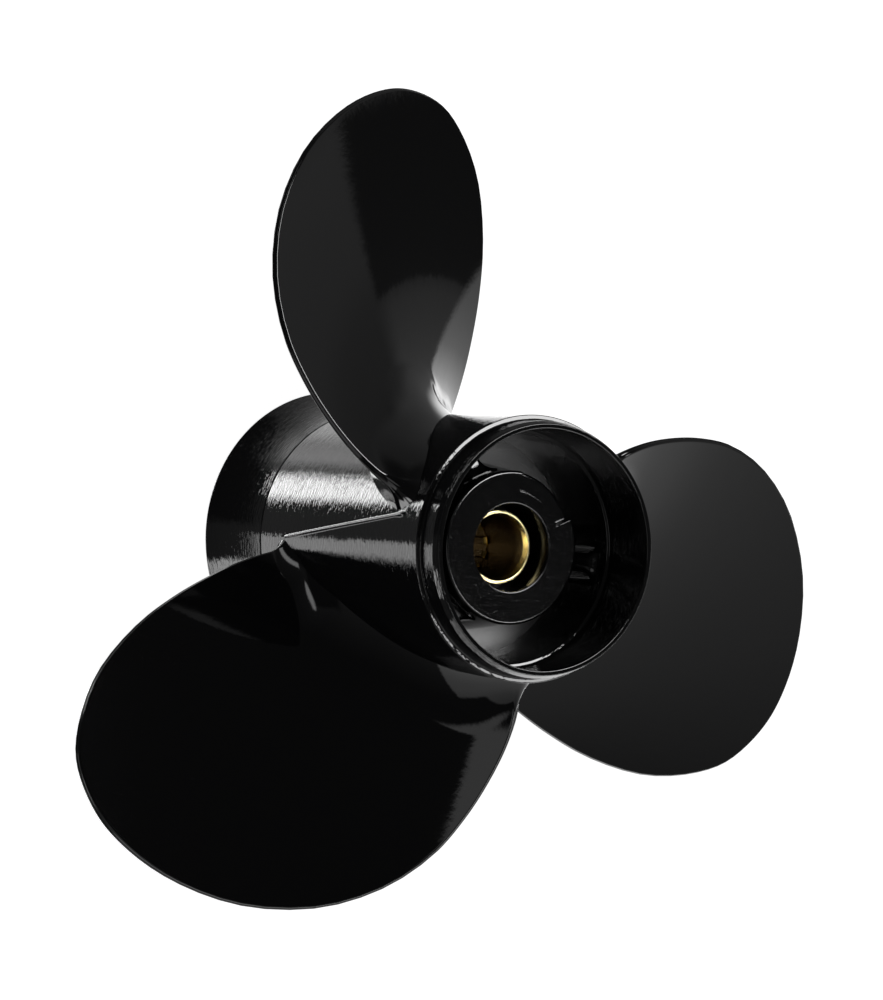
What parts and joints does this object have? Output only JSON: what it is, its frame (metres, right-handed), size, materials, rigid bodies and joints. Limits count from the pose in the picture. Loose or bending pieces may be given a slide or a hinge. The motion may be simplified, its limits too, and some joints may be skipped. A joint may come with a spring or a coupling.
{
  "type": "outboard motor propeller",
  "caption": "Right-hand bladed propeller with exhaust through its hub, a flared front bell, a rubber bush and a splined brass sleeve.",
  "frame": {"origin": "on the shaft's axis, in the plane of the front bell's rim, which is the face it stands on", "axes": "+Z along the shaft's axis towards the aft end, +Y up the middle of the first blade's root region, seen from the aft end with +X to the right"},
  "size_m": [0.2665, 0.2602, 0.134],
  "materials": {
    "blade_paint": "gloss",
    "hub_paint": "gloss",
    "inner_paint": "satin",
    "bush_rubber": "matte",
    "sleeve_brass": "polished"
  },
  "bodies": {
    "root": {"blade_1": "blade_paint", "blade_2": "blade_paint", "blade_3": "blade_paint", "barrel": "hub_paint", "front_bell": "hub_paint", "aft_ring": "hub_paint", "inner_hub": "inner_paint", "rib_1": "inner_paint", "rib_2": "inner_paint", "rib_3": "inner_paint", "rubber_bush": "bush_rubber", "spline_sleeve": "sleeve_brass"}
  },
  "joints": []
}
